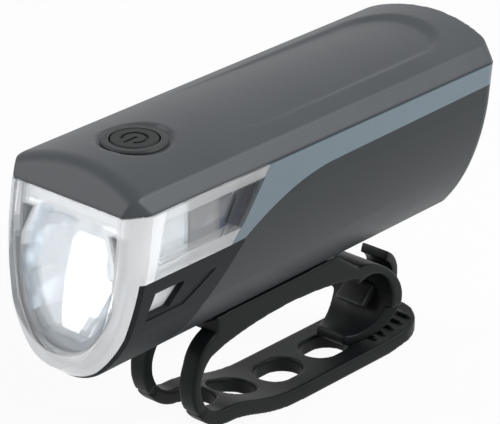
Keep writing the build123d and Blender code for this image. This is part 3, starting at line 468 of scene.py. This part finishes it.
def skin(name, forms, material):
    """Mesh piece from closed forms, each a list of rings of points, smooth but for its end faces."""
    mesh = bmesh.new()
    for rings in forms:
        loops = [[mesh.verts.new(point) for point in ring] for ring in rings]
        for first, second in zip(loops, loops[1:]):
            for index, corner in enumerate(first):
                side = mesh.faces.new((first[index - 1], corner, second[index], second[index - 1]))
                side.smooth = True
        mesh.faces.new(loops[0])
        mesh.faces.new(loops[-1])
    bmesh.ops.recalc_face_normals(mesh, faces=mesh.faces)
    data = bpy.data.meshes.new(name)
    mesh.to_mesh(data)
    mesh.free()
    data.materials.append(material)
    piece = bpy.data.objects.new(name, data)
    bpy.context.scene.collection.objects.link(piece)
    return piece


def rounded(value):
    """Sine or cosine pushed out, so that a ring of them has flat sides and round corners."""
    return math.copysign(abs(value) ** CORNER_POWER, value)


def loop_point(x, angle, radius):
    """Point at an angle up from the rear about the loop's centre."""
    turn = math.radians(angle)
    back, up = LOOP_CENTRE
    return SEAM_FRONT + Vector((x, back + radius * math.cos(turn), up + radius * math.sin(turn)))


def loop_reach(angle):
    """Distance from the loop's centre to its outside at one angle."""
    turn = math.radians(angle)
    shift = Vector(LOOP_OUTER_CENTRE) - Vector(LOOP_CENTRE)
    along = shift.dot(Vector((math.cos(turn), math.sin(turn))))
    return along + math.sqrt(along**2 + LOOP_OUTER_RADIUS**2 - shift.length_squared)


def bridge_ring(side, angle):
    """Section of one arm at an angle round the loop."""
    reach = loop_reach(angle)
    middle = (LOOP_RADIUS + reach) / 2
    half = (reach - LOOP_RADIUS) / 2 - BRIDGE_INSET
    points = []
    for turn in RING_TURNS:
        x = side * ARM_MIDDLE + (ARM_HALF_WIDTH - BRIDGE_INSET) * rounded(math.cos(turn))
        points.append(loop_point(x, angle, middle + half * rounded(math.sin(turn))))
    return points


def make_bridges(material):
    """Rubber through the split in each arm, curved round the loop."""
    first, last = BRIDGE_ANGLES
    step = (last - first) / (BRIDGE_RINGS - 1)
    angles = [first + index * step for index in range(BRIDGE_RINGS)]
    forms = [[bridge_ring(side, angle) for angle in angles] for side in (-1, 1)]
    bridges = skin("strap_bridges", forms, material)
    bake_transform(bridges)


def rib_ring(y, z, place_share, size_share):
    """Section of one rib at a place along it."""
    x = place_share * RIB_HALF_LENGTH
    half_width = size_share * RIB_HALF_WIDTH
    height = size_share * RIB_HEIGHT
    points = []
    for turn in RING_TURNS:
        points.append(Vector((x, y + half_width * math.cos(turn), z + height * math.sin(turn))))
    return points


def make_ribs(material):
    """Grip ribs across the strap's free end."""
    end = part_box("strap_tail")[1][1]
    forms = []
    for number in range(RIB_COUNT):
        y = end - RIB_START + number * RIB_PITCH
        z = TAIL_THICKNESS + max(0.0, y - end + TAIL_SLOPE_LENGTH) * TAIL_SLOPE_SHARE
        forms.append([rib_ring(y, z, *shares) for shares in RIB_RING_SHARES])
    ribs = skin("grip_ribs", forms, material)
    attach(ribs, "strap_tail")


def dress_strap():
    """Rubber strap with its hard hook and base."""
    rubber = moulded("strap")
    dress(rubber, "strap_saddle", "strap_tail")
    make_bridges(rubber)
    make_ribs(rubber)
    dress(moulded("hook"), "strap_hook", "mount_base")
    soften(RUBBER_VOXEL, RUBBER_PASSES, "strap_saddle", "strap_tail", "strap_hook")


def seen_directly(tree):
    """One for camera, glossy and transmission rays, else zero."""
    path = tree.nodes.new("ShaderNodeLightPath")
    total = path.outputs["Is Camera Ray"]
    for output in ("Is Glossy Ray", "Is Transmission Ray"):
        total = worked_out(tree, "MAXIMUM", total, path.outputs[output])
    return total


def floor_material():
    """Mostly white glow where seen or mirrored, with a little shade left, and plain pale grey elsewhere."""
    made = bpy.data.materials.new("floor")
    made.use_nodes = True
    tree = made.node_tree
    tree.nodes.clear()
    diffuse = tree.nodes.new("ShaderNodeBsdfDiffuse")
    diffuse.inputs["Color"].default_value = opaque(FLOOR_GREY)
    glow = tree.nodes.new("ShaderNodeEmission")
    glow.inputs["Color"].default_value = opaque(WHITE)
    mix = tree.nodes.new("ShaderNodeMixShader")
    share = worked_out(tree, "MULTIPLY", seen_directly(tree), FLOOR_WHITE_SHARE)
    tree.links.new(share, mix.inputs["Fac"])
    tree.links.new(diffuse.outputs[0], mix.inputs[1])
    tree.links.new(glow.outputs[0], mix.inputs[2])
    out = tree.nodes.new("ShaderNodeOutputMaterial")
    tree.links.new(mix.outputs[0], out.inputs["Surface"])
    return made


def make_floor():
    """Pale floor that reads as white and keeps a soft shadow."""
    bpy.ops.mesh.primitive_plane_add(size=FLOOR_SIZE)
    floor = bpy.context.object
    floor.name = "floor"
    floor.data.materials.append(floor_material())


def make_world():
    """White surroundings: full white where seen or mirrored, plainer where they light."""
    world = bpy.data.worlds.new("studio")
    world.use_nodes = True
    bpy.context.scene.world = world
    tree = world.node_tree
    background = tree.nodes["Background"]
    background.inputs["Color"].default_value = opaque(WHITE)
    strength = spread(tree, seen_directly(tree), WORLD_STRENGTH, 1.0)
    tree.links.new(strength, background.inputs["Strength"])


def make_lamp(name, place, size, power):
    """Soft area lamp aimed at the object's middle."""
    data = bpy.data.lights.new(name, "AREA")
    data.shape = "RECTANGLE"
    data.size, data.size_y = size
    data.energy = power
    lamp = bpy.data.objects.new(name, data)
    bpy.context.scene.collection.objects.link(lamp)
    lamp.location = place
    aim = sum(cad_box, Vector()) / 2 - Vector(place)
    lamp.rotation_euler = aim.to_track_quat("-Z", "Y").to_euler()


def make_camera():
    """Camera at the photo's angle and distance."""
    turn, rise = math.radians(VIEW_AZIMUTH), math.radians(VIEW_ELEVATION)
    back = Vector((math.sin(turn) * math.cos(rise), -math.cos(turn) * math.cos(rise), math.sin(rise)))
    right = Vector((math.cos(turn), math.sin(turn), 0.0))
    up = back.cross(right)
    data = bpy.data.cameras.new("camera")
    data.lens = LENS_LENGTH
    data.sensor_width = SENSOR_WIDTH
    camera = bpy.data.objects.new("camera", data)
    bpy.context.scene.collection.objects.link(camera)
    camera.location = SEAM_FRONT + back * VIEW_DISTANCE + right * VIEW_RIGHT + up * VIEW_UP
    camera.rotation_mode = "QUATERNION"
    camera.rotation_quaternion = (-back).to_track_quat("-Z", "Y")
    bpy.context.scene.camera = camera


make_camera()
make_world()
make_floor()
for lamp_name, (place, size, power) in LAMPS.items():
    make_lamp(lamp_name, place, size, power)
dress_shell()
dress_optics()
dress_inside()
dress_strap()
bpy.context.scene.view_settings.view_transform = "Standard"
